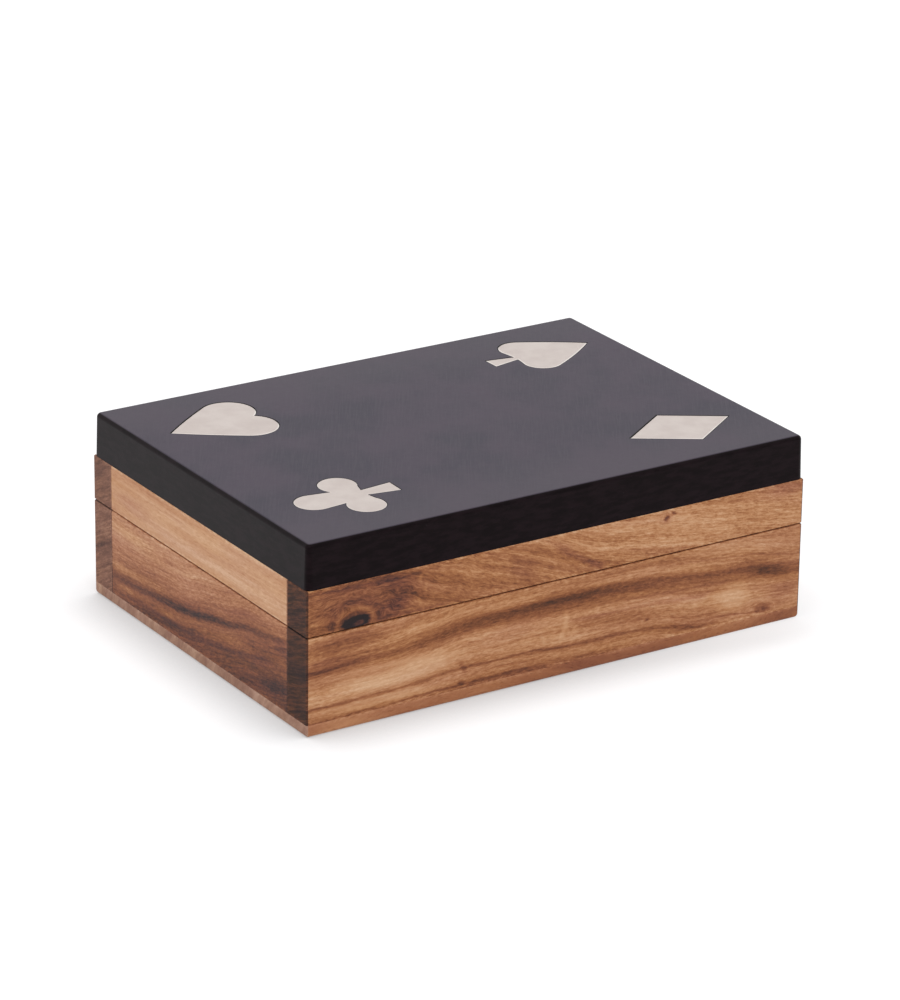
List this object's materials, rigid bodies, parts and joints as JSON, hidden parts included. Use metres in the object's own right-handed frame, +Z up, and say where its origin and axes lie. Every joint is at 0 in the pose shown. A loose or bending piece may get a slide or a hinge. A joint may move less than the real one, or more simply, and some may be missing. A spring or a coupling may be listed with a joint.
{
  "type": "hinged playing card box",
  "caption": "Low rectangular box of butt-jointed boards for playing cards, with a divided tray and a hinged lid whose thick dark slab is inlaid with the card suits.",
  "frame": {"origin": "middle of the base board's underside, on the surface the box stands on", "axes": "+X to the right along the long front, +Y to the hinged back, +Z up"},
  "size_m": [0.178, 0.1302, 0.0605],
  "materials": {
    "figured_wood": "satin oil",
    "black_resin": "satin",
    "inlay_metal": "fine brushed",
    "brass": "satin"
  },
  "bodies": {
    "box": {"base_board": "figured_wood", "box_front_wall": "figured_wood", "box_back_wall": "figured_wood", "box_left_wall": "figured_wood", "box_right_wall": "figured_wood", "well_divider": "figured_wood", "box_leaf_screws": "brass", "left_hinge_box_leaf": "brass", "right_hinge_box_leaf": "brass", "left_hinge_pin": "brass", "right_hinge_pin": "brass"},
    "lid": {"lid_slab": "black_resin", "lid_front_rail": "figured_wood", "lid_back_rail": "figured_wood", "lid_left_rail": "figured_wood", "lid_right_rail": "figured_wood", "lid_leaf_screws": "brass", "inlay_heart": "inlay_metal", "inlay_spade": "inlay_metal", "inlay_club": "inlay_metal", "inlay_diamond": "inlay_metal", "left_hinge_lid_leaf": "brass", "right_hinge_lid_leaf": "brass"}
  },
  "joints": [
    {"name": "lid_hinge", "type": "hinge", "parent": "box", "child": "lid", "pos_m": [0, 0.0639, 0.0316], "axis": [-1, 0, 0], "range_deg": [0, 95]}
  ]
}
